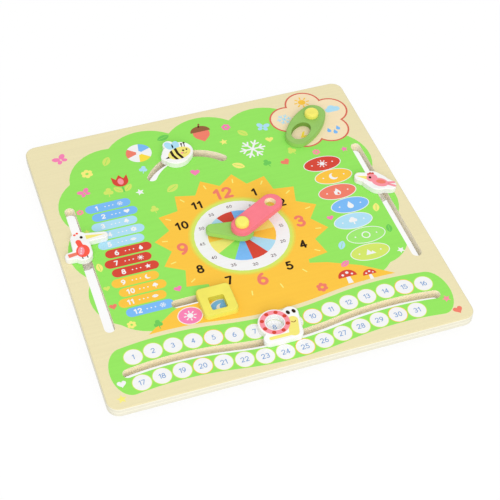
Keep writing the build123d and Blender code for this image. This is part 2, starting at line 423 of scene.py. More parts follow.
def cut_wall(shader, height, tone):
    """Wall of a cut-out, a little deeper towards its foot: painted shade down in the cut."""
    foot, lower = shade(tone, FOOT_PAINTED_SHADE), shade(tone, LOWER_PAINTED_SHADE)
    stops = [(0.0, foot), (FOOT_TO, lower), (LOWER_TO, lower), (UPPER_FROM, tone), (1.0, tone)]
    return shader.ramp(height, *stops)


def plywood(name, face, edge, span, cut=None):
    """Sanded plywood between two levels. A cut has two tones, for walls along the grain and across it."""
    shader = Shader(name)
    streaks = shader.grain(length=70, width=2.4)
    pores = shader.grain(length=2.6, width=0.28, detail=1.0)
    low, high = span
    height = shader.add("MapRange", Value=shader.place("Z"), From_Min=low * MM, From_Max=high * MM)
    bands = ply_bands(shader, height, edge)
    if cut:
        hollow = shader.mix(shader.facing("X"), *(cut_wall(shader, height, tone) for tone in cut))
        out = [shader.math("ABSOLUTE", shader.place(axis)) for axis in "XY"]
        outer = shader.math("GREATER_THAN", shader.math("MAXIMUM", *out), EDGE_FROM * MM)
        bands = shader.mix(outer, hollow, bands)
    wall = shader.math("LESS_THAN", shader.facing("Z"), PLY_WALL)
    shader.set(
        Base_Color=shader.mix(wall, sanded_face(shader, face, streaks, pores), bands),
        Roughness=shader.spread(streaks, low=0.5, high=0.66),
        Specular_IOR_Level=WOOD_GLOSS,
    )
    relief = shader.math("ADD", streaks, shader.math("MULTIPLY", pores, PORE_RELIEF))
    relief = shader.math("MULTIPLY", relief, shader.math("SUBTRACT", 1.0, wall))
    shader.bump(relief, depth=0.025, strength=0.3)
    return shader.material


# Paint: how far the surface faces up where the walls' painted shade ends and the rim's painted shade is deepest
PAINT_GLOSS = 0.3
WALL_TO, RIM_MIDDLE = 0.5, 0.7
ROUGH_RANGE = 0.1


def paint(name, tone, rim=0.9, wall=0.96, rough=0.5):
    """Satin paint: slight orange peel, with painted shade that is deeper on walls and round the rim, against the
    lamp's highlight.
    """
    shader = Shader(name)
    clouds = shader.grain(length=14, width=9, detail=2.0)
    peel = shader.grain(length=0.8, width=0.8, detail=1.0)
    upward = shader.facing("Z")
    painted_wall_shade = shader.ramp(upward, (0.0, FULL), (WALL_TO, NONE))
    painted_rim_shade = shader.ramp(upward, (0.0, NONE), (RIM_MIDDLE, FULL), (1.0, NONE))
    # Walls and the rounded rim are painted deeper: painted shade
    coat = shader.deepen(shader.tint(clouds, tone, dark=0.98, pale=1.02), painted_wall_shade, tone, wall)
    shader.coat = shader.deepen(coat, painted_rim_shade, tone, rim)
    shader.set(
        Base_Color=shader.coat,
        Roughness=shader.spread(peel, low=rough, high=rough + ROUGH_RANGE),
        Specular_IOR_Level=PAINT_GLOSS,
    )
    shader.bump(peel, depth=0.02, strength=0.35)
    return shader


def grained(name, dark, pale, rough, relief, metallic=0.0, **grain):
    """Finish with one noise for its tone, its roughness and its relief of a depth and a strength."""
    shader = Shader(name)
    noise = shader.grain(**grain)
    base = shader.ramp(noise, (NOISE_LOW, dark), (NOISE_HIGH, pale))
    shader.set(Base_Color=base, Metallic=metallic, Roughness=shader.spread(noise, *rough))
    shader.bump(noise, *relief)
    return shader.material


def solid_wood(name, tone):
    """Plain hardwood with its grain upright."""
    tones = shade(tone, 0.95), shade(tone, 1.01)
    return grained(name, *tones, rough=(0.5, 0.65), relief=(0.04, 0.4), length=20, width=0.5, axis=2)


STEEL_TONES = (172, 173, 174), (202, 202, 200)


def steel(name):
    """Zinc-plated steel with a fine brushed grain."""
    grain = {"length": 0.3, "width": 3.0, "axis": 2, "detail": 3.0}
    return grained(name, *STEEL_TONES, rough=(0.26, 0.4), relief=(0.01, 0.3), metallic=1.0, **grain)


def rubber(name, tone):
    """Matt rubber with a fine moulded grain."""
    tones = shade(tone, 0.95), shade(tone, 1.02)
    return grained(name, *tones, rough=(0.7, 0.85), relief=(0.04, 0.5), length=0.5, width=0.5, detail=3.0)


# Finish of the CAD nodes
BIRCH = (240, 229, 184)
BIRCH_EDGE = (237, 233, 213)
BIRCH_CUTS = [(255, 243, 208), (255, 248, 226)]
PALE_PLY = (252, 249, 240)
PALE_PLY_EDGE = shade(PALE_PLY, 0.97)
# Window walls of the pointer and the frame: a deeper tone that is painted shade
POINTER_GREEN, POINTER_WINDOW_SHADE = (150, 200, 100), (116, 160, 62)
FRAME_YELLOW, FRAME_WINDOW_SHADE = (245, 234, 97), (228, 212, 66)
BORE_DARK, BORE_PALE = (246, 226, 182), (255, 242, 214)

SLIDERS = ["month", "weekday", "season", "am_pm"]
DOWELS = [name + "_peg" for name in SLIDERS]
DISCS = [name for name in frame["nodes"] if name.endswith("_rear_disc")]
PADS = [name for name in frame["nodes"] if name.startswith("foot_")]
PLATES = ["month_plate", "weekday_plate", "season_plate", "day_plate"]


def finish(material, *nodes):
    for node in nodes:
        data = frame["nodes"][node].data
        data.materials.clear()
        data.materials.append(material)


def pierced(node, shader, opening, reach, wall):
    """Finish of a painted node, with another colour on an opening's walls within a reach in mm."""
    opening_walls = shader.near(opening_place(opening), reach)
    shader.set(Base_Color=shader.mix(opening_walls, shader.coat, wall))
    finish(shader.material, node)


finish(plywood("birch_panel", BIRCH, BIRCH_EDGE, levels("board"), BIRCH_CUTS), "board")
finish(plywood("birch_disc", PALE_PLY, PALE_PLY_EDGE, levels("month_rear_disc")), *DISCS)
finish(plywood("birch_washer", PALE_PLY, PALE_PLY_EDGE, levels("clock_washer")), "clock_washer")
finish(solid_wood("pale_dowel", tone=(253, 250, 240)), *DOWELS)
finish(rubber("pad_rubber", tone=(226, 226, 220)), *PADS)
finish(steel("rivet_steel"), "day_pin")
# The rim and wall shares of the painted parts are painted shade
finish(paint("figure_white", tone=(250, 250, 248), rim=0.98).material, *PLATES)
finish(paint("peg_yellow", tone=(250, 240, 108), rim=0.94, rough=0.4).material, "clock_peg", "weather_peg")
finish(paint("hand_green", tone=(154, 210, 100), wall=1.0).material, "hour_hand")

# The walls of the pointer's and the frame's windows are painted deeper, as painted shade, and the finger hole is
# bored after painting
pointer_paint = paint("pointer_green", POINTER_GREEN, wall=1.0)
pierced("weather_pointer", pointer_paint, "pointer_window", reach=12.3, wall=linear(POINTER_WINDOW_SHADE))
frame_paint = paint("frame_yellow", FRAME_YELLOW)
pierced("am_pm_plate", frame_paint, "am_pm_window", reach=10.3, wall=linear(FRAME_WINDOW_SHADE))
hand_paint = paint("hand_pink", tone=(255, 126, 141))
bore = hand_paint.grain(length=6, width=0.5)
bore = hand_paint.ramp(bore, (NOISE_LOW, BORE_DARK), (NOISE_HIGH, BORE_PALE))
pierced("minute_hand", hand_paint, "minute_hand_finger_hole", reach=4.9, wall=bore)

# Screws: countersunk head with a cross recess below, thread above, in the place of the plain ones
SCREW_SIDES = 48
RECESS_REACH, RECESS_HALF_W, RECESS_DEEP, RECESS_TAPER = 1.7, 0.42, 1.0, 0.55
THREAD_PITCH, THREAD_DEEP, THREAD_STEPS = 1.2, 0.32, 6
SCREW_POINT = 2.5
SHANK_SHARE = 0.5


def recess_r(turn):
    """Reach of the cross recess at a heading."""
    c, s = max(abs(cos(turn)), LEAST), max(abs(sin(turn)), LEAST)
    along = min(RECESS_REACH / c, RECESS_HALF_W / s)
    across = min(RECESS_REACH / s, RECESS_HALF_W / c)
    return max(along, across)


def thread_r(r, level, turn):
    """Radius of the thread's flank at a level and a heading."""
    share = (level / THREAD_PITCH - turn / (2 * pi)) % 1.0
    return r - THREAD_DEEP * abs(2 * share - 1)


def screw_rings(low, high, head_r, turns):
    """(level, radii) of the rings of a screw, from its recess to the start of its tip."""
    shank_r = head_r * SHANK_SHARE
    neck, shoulder = low + head_r - shank_r, high - SCREW_POINT
    rings = [
        (low + RECESS_DEEP, [RECESS_TAPER * recess_r(t) for t in turns]),
        (low, [recess_r(t) for t in turns]),
        (low, [head_r] * SCREW_SIDES),
        (neck, [shank_r] * SCREW_SIDES),
    ]
    steps = ceil((shoulder - neck) / THREAD_PITCH * THREAD_STEPS)
    for i in range(1, steps + 1):
        z = neck + (shoulder - neck) * i / steps
        rings.append((z, [thread_r(shank_r, z - neck, t) for t in turns]))
    return rings


def screw(node):
    """Mesh of a screw that fills a plain screw's box."""
    low, high = (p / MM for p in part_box(node))
    x, y = (low.x + high.x) / 2, (low.y + high.y) / 2
    turns = [2 * pi * i / SCREW_SIDES for i in range(SCREW_SIDES)]
    rings = screw_rings(low.z, high.z, (high.x - low.x) / 2, turns)
    points = [(x, y, low.z + RECESS_DEEP)]
    for z, reach in rings:
        points += [(x + r * cos(t), y + r * sin(t), z) for r, t in zip(reach, turns)]
    points.append((x, y, high.z))
    faces = []
    for j in range(SCREW_SIDES):
        k = (j + 1) % SCREW_SIDES
        faces.append((0, 1 + k, 1 + j))
        for i in range(len(rings) - 1):
            a, b = 1 + i * SCREW_SIDES, 1 + (i + 1) * SCREW_SIDES
            faces.append((a + j, a + k, b + k, b + j))
        last = 1 + (len(rings) - 1) * SCREW_SIDES
        faces.append((last + j, last + k, len(points) - 1))
    return points, faces


screw_steel = steel("screw_steel")
for name in SLIDERS:
    piece = build(name + "_cross_screw", screw(name + "_screw"), name + "_slider", screw_steel)
    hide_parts(name + "_screw")

# Prints: one mesh for each colour of each place. A place is a figure, with its slider
# and dowel here, or else a part of the panel's face.
BOARD_TOP = levels("board")[1]
FIGURES = {
    "month_bird": ("month", "month_peg"),
    "weekday_bird": ("weekday", "weekday_peg"),
    "season_bee": ("season", "season_peg"),
    "day_snail": ("day", "day_pin"),
}
prints = defaultdict(lambda: ([], []))


def panel_outlines():
    """Outlines on the panel's upper face, read from its mesh: its own first, then by width."""
    data = frame["nodes"]["board"].data
    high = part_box("board")[1].z - LEAST
    spots = {}
    for v in data.vertices:
        if v.co.z > high:
            spots[v.index] = round(v.co.x / MM, 3), round(v.co.y / MM, 3)
    faces = [polygon.vertices for polygon in data.polygons]
    tops = [[spots[i] for i in face] for face in faces if all(i in spots for i in face)]
    following = dict(sorted(rim_of(tops)))
    loops = []
    while following:
        start = next(iter(following))
        loop = [start]
        while (step := following.pop(loop[-1])) != start:
            loop.append(step)
        loops.append(loop)
    return sorted(loops, key=lambda loop: span_of([loop])[0] - span_of([loop])[1])


OPENINGS = panel_outlines()[1:]
DAY_SLOT = OPENINGS[0]
DAY_SLOT_END = 4.5


def day_line(x):
    """Height in plan of the day slot's middle at a place along it, level beyond its ends."""
    left, right, _, _ = span_of([DAY_SLOT])
    x = min(max(x, left + DAY_SLOT_END), right - DAY_SLOT_END)
    hits = []
    for (x0, y0), (x1, y1) in zip(DAY_SLOT, [*DAY_SLOT[1:], DAY_SLOT[0]]):
        if min(x0, x1) <= x <= max(x0, x1) and x0 != x1:
            hits.append(y0 + (y1 - y0) * (x - x0) / (x1 - x0))
    return (min(hits) + max(hits)) / 2


def openings_under(loops):
    """The panel's openings that some outlines may lie over."""
    left, right, front, back = span_of(loops)
    spans = [(opening, *span_of([opening])) for opening in OPENINGS]
    return [o for o, x0, x1, y0, y1 in spans if x0 < right and left < x1 and y0 < back and front < y1]


def draw(place, colour, add, cut=(), within=(), layer=1):
    """Prints an area in one colour on one layer of a place, clear of the panel's openings."""
    if place in FIGURES:
        level = levels(FIGURES[place][0] + "_plate")[1]
    else:
        level = BOARD_TOP
        cut = [*cut, *openings_under(add)]
    area = fill(add, cut, within)
    add_sheet(prints[place, colour], area, level - PRINT_SINK, level + layer * PRINT_STEP)


# Numbers: strokes in a box one unit high, with round ends
DIGIT_W, ONE_W = 0.58, 0.26
DIGIT_GAP = 1.75


def loop_stroke(x, y, r, ry):
    return [arc(x, y, r, 0, 190, ry), arc(x, y, r, 180, 370, ry)]


SIX = [*loop_stroke(0.29, 0.30, 0.29, 0.30), arc(0.56, 0.34, 0.56, 105, 185, 0.66)]
DIGITS = {
    "0": loop_stroke(0.29, 0.5, 0.29, 0.5),
    "1": [[(0.0, 0.78), (ONE_W, 1.0)], [(ONE_W, 1.0), (ONE_W, 0.0)]],
    "2": [arc(0.29, 0.71, 0.28, 165, -35, 0.29) + [(0.02, 0.0)], [(0.02, 0.0), (0.58, 0.0)]],
    "3": [arc(0.27, 0.76, 0.25, 150, -90, 0.24), arc(0.27, 0.27, 0.29, 90, -152, 0.27)],
    "4": [[(0.43, 0.0), (0.43, 1.0)], [(0.43, 1.0), (0.0, 0.27)], [(0.0, 0.27), (0.60, 0.27)]],
    "5": [[(0.50, 1.0), (0.12, 1.0)], [(0.12, 1.0), (0.08, 0.56)], arc(0.26, 0.31, 0.31, 126, -150)],
    "6": SIX,
    "7": [[(0.0, 1.0), (0.55, 1.0)], [(0.55, 1.0), (0.18, 0.0)]],
    "8": [*loop_stroke(0.29, 0.765, 0.24, 0.235), *loop_stroke(0.29, 0.27, 0.29, 0.27)],
    "9": [[(DIGIT_W - x, 1 - y) for x, y in line] for line in SIX],
}


def number(text, x, y, height, weight):
    """Outlines of a number centred on a point."""
    scale = height - weight
    widths = [(ONE_W if digit == "1" else DIGIT_W) * scale for digit in text]
    left = x - (sum(widths) + DIGIT_GAP * weight * (len(text) - 1)) / 2
    loops = []
    for digit, width in zip(text, widths):
        for line in DIGITS[digit]:
            loops.append(stroke([(left + px * scale, y + (py - 0.5) * scale) for px, py in line], weight))
        left += width + DIGIT_GAP * weight
    return loops


# Motifs: outlines to add and outlines to cut, about one unit in radius
def dot():
    return [circle(0, 0, 1)], []


def sun():
    rays = [stroke([polar(0, 0, 0.68, t), polar(0, 0, 0.95, t)], 0.2) for t in range(0, 360, 45)]
    return [circle(0, 0, 0.5), *rays], []


def moon():
    return [circle(0, 0, 0.9)], [circle(0.42, 0.2, 0.74)]


def teardrop(x=0.0, y=0.0, size=1.0):
    """Outline of a drop: a circle drawn out to a tip above it."""
    tip, middle, r = 1.0, -0.3, 0.62
    lean = degrees(acos(r / (tip - middle)))
    loop = [(0.0, tip), *arc(0, middle, r, 90 + lean, 450 - lean)]
    return moved([loop], x, y, size)[0]


def drop():
    return [teardrop()], []


def flame():
    tongue = moved([teardrop()], -0.42, -0.28, 0.62, 24)
    return [teardrop(), *tongue], [teardrop(0.06, -0.42, 0.4)]


def tree():
    crown = [circle(-0.42, 0.1, 0.42), circle(0.42, 0.1, 0.42), circle(0, 0.5, 0.48)]
    return [*crown, stroke([(0, 0.1), (0, -0.85)], 0.26)], []


def coin():
    return [circle(0, 0, 0.85), star(4, 0.22)[0][0]], [circle(0, 0, 0.64)]


def mountain():
    high = [(-1.0, -0.62), (-0.28, 0.72), (0.44, -0.62)]
    low = [(-0.02, -0.62), (0.46, 0.2), (0.98, -0.62)]
    return [high, low], []


def snowflake():
    loops = []
    for t in range(0, 360, 60):
        loops.append(stroke([(0, 0), polar(0, 0, 0.93, t)], 0.14))
        for side in (-1, 1):
            loops.append(stroke([polar(0, 0, 0.48, t), polar(0, 0, 0.80, t + side * 20)], 0.12))
    return loops, []


def star(points=5, deep=0.45):
    loop = [polar(0, 0, 1.0 if i % 2 == 0 else deep, 90 + i * 180 / points) for i in range(2 * points)]
    return [loop], []


def heart():
    """The usual heart curve of sines and cosines, brought to one unit."""
    steps, size, lift = 36, 17, 2.5
    loop = []
    for i in range(steps):
        t = 2 * pi * i / steps
        wave = 13 * cos(t) - 5 * cos(2 * t) - 2 * cos(3 * t) - cos(4 * t)
        loop.append((16 * sin(t) ** 3 / size, (wave + lift) / size))
    return [loop[::-1]], []


def leaf():
    """Two arcs that meet in points, with a vein cut out."""
    r, off = 1.16, 0.6
    half = degrees(acos(off / r))
    low = arc(0, off, r, 270 - half, 270 + half)
    high = arc(0, -off, r, 90 - half, 90 + half)
    return [low + high[1:-1]], [stroke([(-0.7, 0), (0.62, 0)], 0.1)]


def petals():
    return [circle(*polar(0, 0, 0.6, 90 + t), 0.36) for t in range(0, 360, 60)], []


def cloud():
    puffs = [circle(-0.55, -0.12, 0.38), circle(-0.05, 0.14, 0.52), circle(0.52, -0.08, 0.42)]
    return [*puffs, stroke([(-0.58, -0.3), (0.56, -0.3)], 0.4)], []


def bolt():
    left = [(0.18, 1.0), (-0.5, -0.12), (-0.06, -0.12), (-0.24, -1.0)]
    right = [(0.52, 0.22), (0.08, 0.22), (0.5, 1.0)]
    return [left + right], []


def wings():
    upper = [oval(side * 0.46, 0.3, 0.5, 0.36, side * 38) for side in (-1, 1)]
    lower = [oval(side * 0.36, -0.4, 0.36, 0.28, -side * 35) for side in (-1, 1)]
    return upper + lower, []


def clover():
    leaves = [circle(*polar(0, 0.15, 0.42, 90 + i * 120), 0.42) for i in range(3)]
    return [*leaves, stroke([(0, 0), (0.12, -0.95)], 0.16)], []


def put(place, colour, motif, x, y, size, turn=0.0, layer=1):
    """Prints a motif at a point, with its radius in mm."""
    add, cut = motif
    draw(place, colour, moved(add, x, y, size, turn), moved(cut, x, y, size, turn), layer=layer)


def framed_oval(place, colour, rim, x, y, rx, ry, line, layer):
    """Prints an oval with a thin outline."""
    draw(place, rim, [circle(x, y, rx, ry)], layer=layer)
    draw(place, colour, [circle(x, y, rx - line, ry - line)], layer=layer + 1)


# Meadow: a rounded square with a regular scalloped edge
FIELD_SIDE, FIELD_FRONT, FIELD_BACK = 130.0, -76.0, 130.0
FIELD_BACK_R, FIELD_FRONT_R = 70.0, 70.0 / 3
FIELD_LOBES = 15
FIELD_LOBE_RISE = 12.0


def field_path():
    """Points of the meadow's plain outline, anticlockwise."""
    front_x, front_y = FIELD_SIDE - FIELD_FRONT_R, FIELD_FRONT + FIELD_FRONT_R
    back_x, back_y = FIELD_SIDE - FIELD_BACK_R, FIELD_BACK - FIELD_BACK_R
    path = arc(front_x, front_y, FIELD_FRONT_R, -90, 0)
    path += arc(back_x, back_y, FIELD_BACK_R, 0, 90)
    path += arc(-back_x, back_y, FIELD_BACK_R, 90, 180)
    path += arc(-front_x, front_y, FIELD_FRONT_R, 180, 270)
    return path


def even_points(path, count):
    """Points at equal steps along a closed path."""
    ring = [*path, path[0]]
    runs = [hypot(b[0] - a[0], b[1] - a[1]) for a, b in zip(ring, ring[1:])]
    step = sum(runs) / count
    points, gone, i = [], 0.0, 0
    for n in range(count):
        while gone + runs[i] < n * step:
            gone += runs[i]
            i += 1
        share = (n * step - gone) / runs[i]
        (x0, y0), (x1, y1) = ring[i], ring[i + 1]
        points.append((x0 + (x1 - x0) * share, y0 + (y1 - y0) * share))
    return points


def scallops(points, rise):
    """Closed outline of arcs that bulge to the right of each step, which is outward here."""
    loop = []
    for (x0, y0), (x1, y1) in zip(points, [*points[1:], points[0]]):
        chord = hypot(x1 - x0, y1 - y0)
        r = (chord**2 / 4 + rise**2) / (2 * rise)
        ux, uy = (x1 - x0) / chord, (y1 - y0) / chord
        cx = (x0 + x1) / 2 - uy * (r - rise)
        cy = (y0 + y1) / 2 + ux * (r - rise)
        start = direction((cx, cy), (x0, y0))
        end = direction((cx, cy), (x1, y1))
        if end < start:
            end += 360
        loop += arc(cx, cy, r, start, end)[:-1]
    return loop


def meadow():
    draw("meadow", "green", [scallops(even_points(field_path(), FIELD_LOBES), FIELD_LOBE_RISE)])


# Sun round the clock, on a hill over the day band
SUN_R, SUN_TIP_R, SUN_RAYS = 61.0, 73.0, 16
DASH_FROM, DASH_TO, DASH_W = 62.5, 66.5, 1.1
HILL_LEFT, HILL_RIGHT, HILL_TOP = -102.0, 106.0, -50.0
BAND_BACK, BAND_FRONT, BAND_END, BAND_GAP = 25.0, 21.0, 141.0, 4.0
WAVE_STEP = 6.0


def wave_points(left, right, rise):
    """Points of a line that runs along the day slot at a distance behind it."""
    count = ceil((right - left) / WAVE_STEP)
    xs = [left + (right - left) * i / count for i in range(count + 1)]
    return [(x, day_line(x) + rise) for x in xs]


def hill():
    """The back of the day band, and an arc over it."""
    low = wave_points(HILL_LEFT, HILL_RIGHT, BAND_BACK + BAND_GAP)
    half = (HILL_RIGHT - HILL_LEFT) / 2
    rise = HILL_TOP - low[0][1]
    r = (half**2 + rise**2) / (2 * rise)
    x, y = HILL_LEFT + half, HILL_TOP - r
    return low + arc(x, y, r, direction((x, y), low[-1]), direction((x, y), low[0]))[1:-1]


def sunshine():
    step = 360 / SUN_RAYS
    rays = [polar(*CLOCK, SUN_TIP_R if i % 2 else SUN_R, i * step / 2) for i in range(2 * SUN_RAYS)]
    draw("sunshine", "orange", [rays, hill()], layer=2)
    for i in range(SUN_RAYS):
        dash = [polar(*CLOCK, r, (i + 0.5) * step) for r in (DASH_FROM, DASH_TO)]
        draw("sunshine", "lemon", [stroke(dash, DASH_W)], layer=3)


# Clock face: rings, a white face, coloured wedges, minutes, and hours by colour, height and weight
HALO = [("honey", 45.0), ("citron", 43.6), ("lime", 42.2)]
HALO_LAYER, FACE_LAYER = 3, 6
FACE_R, WEDGE_R = 40.0, 28.6
WEDGE_COLOURS = ["blue", "green", "butter", "orange", "sky", "red"]
MINUTES_R, MINUTES_H, MINUTES_W = 34.6, 3.3, 0.5
HOURS_R, HOUR_TURN = 51.5, 30
MAIN_HOUR, HOUR = ("coral", 13.4, 2.7), ("black", 9.2, 1.8)


def clock_face():
    for layer, (colour, r) in enumerate(HALO, HALO_LAYER):
        draw("clock", colour, [circle(*CLOCK, r)], layer=layer)
    draw("clock", "white", [circle(*CLOCK, FACE_R)], layer=FACE_LAYER)
    for hour in range(1, 13):
        turn = 90 - HOUR_TURN * hour
        wedge = [CLOCK, *arc(*CLOCK, WEDGE_R, turn, turn + HOUR_TURN)]
        colour = WEDGE_COLOURS[(hour - 1) % len(WEDGE_COLOURS)]
        draw("clock", colour, [wedge], layer=FACE_LAYER + 1)
        spot = polar(*CLOCK, MINUTES_R, turn)
        draw("clock", "grey", number(str(5 * hour), *spot, MINUTES_H, MINUTES_W), layer=FACE_LAYER + 1)
        spot = polar(*CLOCK, HOURS_R, turn)
        colour, height, weight = HOUR if hour % 3 else MAIN_HOUR
        draw("clock", colour, number(str(hour), *spot, height, weight), layer=3)


# Month bars: each has a number, a row of dots and a sign, placed from its middle
MONTH_X, MONTH_BACK, MONTH_PITCH = -95.0, 58.4, 10.94
MONTH_LEN, MONTH_W, MONTH_SHIFT = 30.0, 9.4, 1.6
MONTH_NUMBER_X, MONTH_NUMBER_H, MONTH_NUMBER_W = -10.0, 5.4, 1.1
MONTH_DOTS_X, MONTH_DOT_PITCH, MONTH_DOT_R, MONTH_DOTS = -2.5, 3.4, 0.6, 3
MONTH_SIGN_X, MONTH_SIGN_R = 10.5, 2.7
MONTH_COLOURS = ["blue"] * 2 + ["sky"] * 3 + ["red"] * 3 + ["orange"] * 3 + ["blue"]
MONTH_SIGNS = [snowflake, heart, clover, petals, leaf, drop, sun, star, moon, tree, leaf, snowflake]


def months():
    for i, (colour, sign) in enumerate(zip(MONTH_COLOURS, MONTH_SIGNS)):
        x = MONTH_X + (MONTH_SHIFT if i % 2 else -MONTH_SHIFT)
        y = MONTH_BACK - i * MONTH_PITCH
        bar = stroke([(x - MONTH_LEN / 2, y), (x + MONTH_LEN / 2, y)], MONTH_W)
        digits = number(str(i + 1), x + MONTH_NUMBER_X, y, MONTH_NUMBER_H, MONTH_NUMBER_W)
        draw("months", colour, [bar], layer=2)
        draw("months", "white", digits, layer=3)
        put("months", "white", sign(), x + MONTH_SIGN_X, y, MONTH_SIGN_R, layer=3)
        for n in range(MONTH_DOTS):
            put("months", "white", dot(), x + MONTH_DOTS_X + n * MONTH_DOT_PITCH, y, MONTH_DOT_R, layer=3)


# Weekday ovals: colour, sign, place
WEEKDAYS = [
    ("red", sun, 95.6, 50.4),
    ("orange", moon, 99.4, 32.6),
    ("coral", flame, 95.6, 13.8),
    ("blue", drop, 100.0, -4.4),
    ("sky", tree, 95.6, -22.8),
    ("spring", coin, 99.6, -41.2),
    ("lime", mountain, 95.6, -60.0),
]
OVAL_RX, OVAL_RY, OVAL_LINE = 17.2, 9.0, 0.7
OVAL_SIGN_R, OVAL_DOT_X, OVAL_DOT_R = 4.4, 9.5, 0.7


def weekdays():
    for colour, sign, x, y in WEEKDAYS:
        framed_oval("weekdays", colour, "white", x, y, OVAL_RX, OVAL_RY, OVAL_LINE, 2)
        put("weekdays", "white", sign(), x, y, OVAL_SIGN_R, layer=4)
        for side in (-1, 1):
            put("weekdays", "white", dot(), x + side * OVAL_DOT_X, y, OVAL_DOT_R, layer=4)


# Morning and afternoon marks: colour, sign, place
HALVES = [("pink", sun, -65.6, -79.4), ("blue", moon, -39.2, -79.4)]
HALF_RX, HALF_RY = 10.2, 9.0
HALF_SIGN_R = 5.0


def halves():
    for colour, sign, x, y in HALVES:
        framed_oval("halves", colour, "white", x, y, HALF_RX, HALF_RY, OVAL_LINE, 3)
        put("halves", "white", sign(), x, y, HALF_SIGN_R, layer=5)


# Season signs round the arc slot
SEASON_SIGN_R = 67.0
BALL_R, BALL_HUB_R, BALL_TURN, BALL_SLICE = 11.5, 2.4, 20, 60
FLAKE_R = 12.0


def tulip(x, y):
    draw("seasons", "leaf", [stroke([(x, y - 12), (x, y)], 1.4)], layer=2)
    for side in (-1, 1):
        put("seasons", "lime", leaf(), x + side * 4.4, y - 8.5, 5.0, 90 - side * 42, layer=3)
    cup = [(-7, 8), *arc(0, 1.5, 7, 180, 360), (7, 8), (3.4, 3.8), (0, 9), (-3.4, 3.8)]
    draw("seasons", "red", moved([cup], x, y), layer=4)
    draw("seasons", "rose", [circle(x, y + 0.6, 2.6, 3.9)], layer=5)


def ball(x, y):
    draw("seasons", "white", [circle(x, y, BALL_R)], layer=2)
    for i, colour in enumerate(["blue", "coral", "yellow"]):
        turn = BALL_TURN + 2 * BALL_SLICE * i
        draw("seasons", colour, [[(x, y), *arc(x, y, BALL_R, turn, turn + BALL_SLICE)]], layer=3)
    draw("seasons", "white", [circle(x, y, BALL_HUB_R)], layer=4)


def acorn(x, y):
    draw("seasons", "coral", [[(x, y - 11), *arc(x, y, 7.6, -40, 220, 8.5)]], layer=2)
    draw("seasons", "brown", [arc(x, y + 2.5, 9.2, 0, 180, 7.5)], layer=3)
    draw("seasons", "brown", [stroke([(x, y + 9), (x + 1.2, y + 12.5)], 1.6)], layer=3)


def flake(x, y):
    put("seasons", "white", snowflake(), x, y, FLAKE_R, layer=2)


SEASON_SIGNS = [(tulip, 158), (ball, 124), (acorn, 70), (flake, 26)]


def seasons():
    for sign, turn in SEASON_SIGNS:
        sign(*polar(*SEASONS, SEASON_SIGN_R, turn))


# Weather dial: one lobe for each sign, as colour, motif, radius and places from its middle
LOBE_R, LOBE_OUT, DIAL_LINE, DIAL_SIGN_OUT = 17.0, 21.0, 1.6, 24.5
DIAL_SIGNS = [
    ("orange", sun, 7.0, [(0, 0)]),
    ("sky", snowflake, 7.0, [(0, 0)]),
    ("yellow", bolt, 6.5, [(0, 0)]),
    ("blue", drop, 3.1, [(-4.2, 1.2), (0.6, -2.2), (4.6, 2.0)]),
    ("sky", cloud, 7.5, [(0, 0)]),
]


def weather_dial():
    turns = [90 + i * 360 / len(DIAL_SIGNS) for i in range(len(DIAL_SIGNS))]
    lobes = [polar(*WEATHER, LOBE_OUT, t) for t in turns]
    core = circle(*WEATHER, LOBE_OUT)
    draw("weather", "brick", [circle(*p, LOBE_R) for p in lobes] + [core], layer=2)
    draw("weather", "peach", [circle(*p, LOBE_R - DIAL_LINE) for p in lobes] + [core], layer=3)
    for turn, (colour, sign, r, places) in zip(turns, DIAL_SIGNS):
        x, y = polar(*WEATHER, DIAL_SIGN_OUT, turn)
        for dx, dy in places:
            put("weather", colour, sign(), x + dx, y + dy, r, layer=4)


# Day band: two rows of numbered discs along the wavy slot
BAND_END_R = 14.0
DAY_PITCH, DAY_FIRST_X, DAY_ROWS = 16.16, -119.4, (13.0, -12.6)
DAY_R, DAY_LINE, DAY_NUMBER_H, DAY_NUMBER_W = 7.9, 0.6, 4.8, 0.65
DAYS, FIRST_ROW = 31, 16


def band():
    """Two waves and round ends."""
    end = BAND_END - BAND_END_R
    front = wave_points(-end, end, -BAND_FRONT)
    back = wave_points(-end, end, BAND_BACK)
    half = (BAND_BACK + BAND_FRONT) / 2
    right = arc(end, front[-1][1] + half, BAND_END_R, -90, 90, half)
    left = arc(-end, front[0][1] + half, BAND_END_R, 90, 270, half)
    return front + right[1:-1] + back[::-1] + left[1:-1]


def day_band():
    draw("days", "green", [band()])
    for day in range(1, DAYS + 1):
        row, column = divmod(day - 1, FIRST_ROW)
        x = DAY_FIRST_X + column * DAY_PITCH
        y = day_line(x) + DAY_ROWS[row]
        rim = "orange" if day % 5 == 0 else "lime"
        framed_oval("days", "white", rim, x, y, DAY_R, DAY_R, DAY_LINE, 2)
        draw("days", "ink_blue", number(str(day), x, y, DAY_NUMBER_H, DAY_NUMBER_W), layer=4)


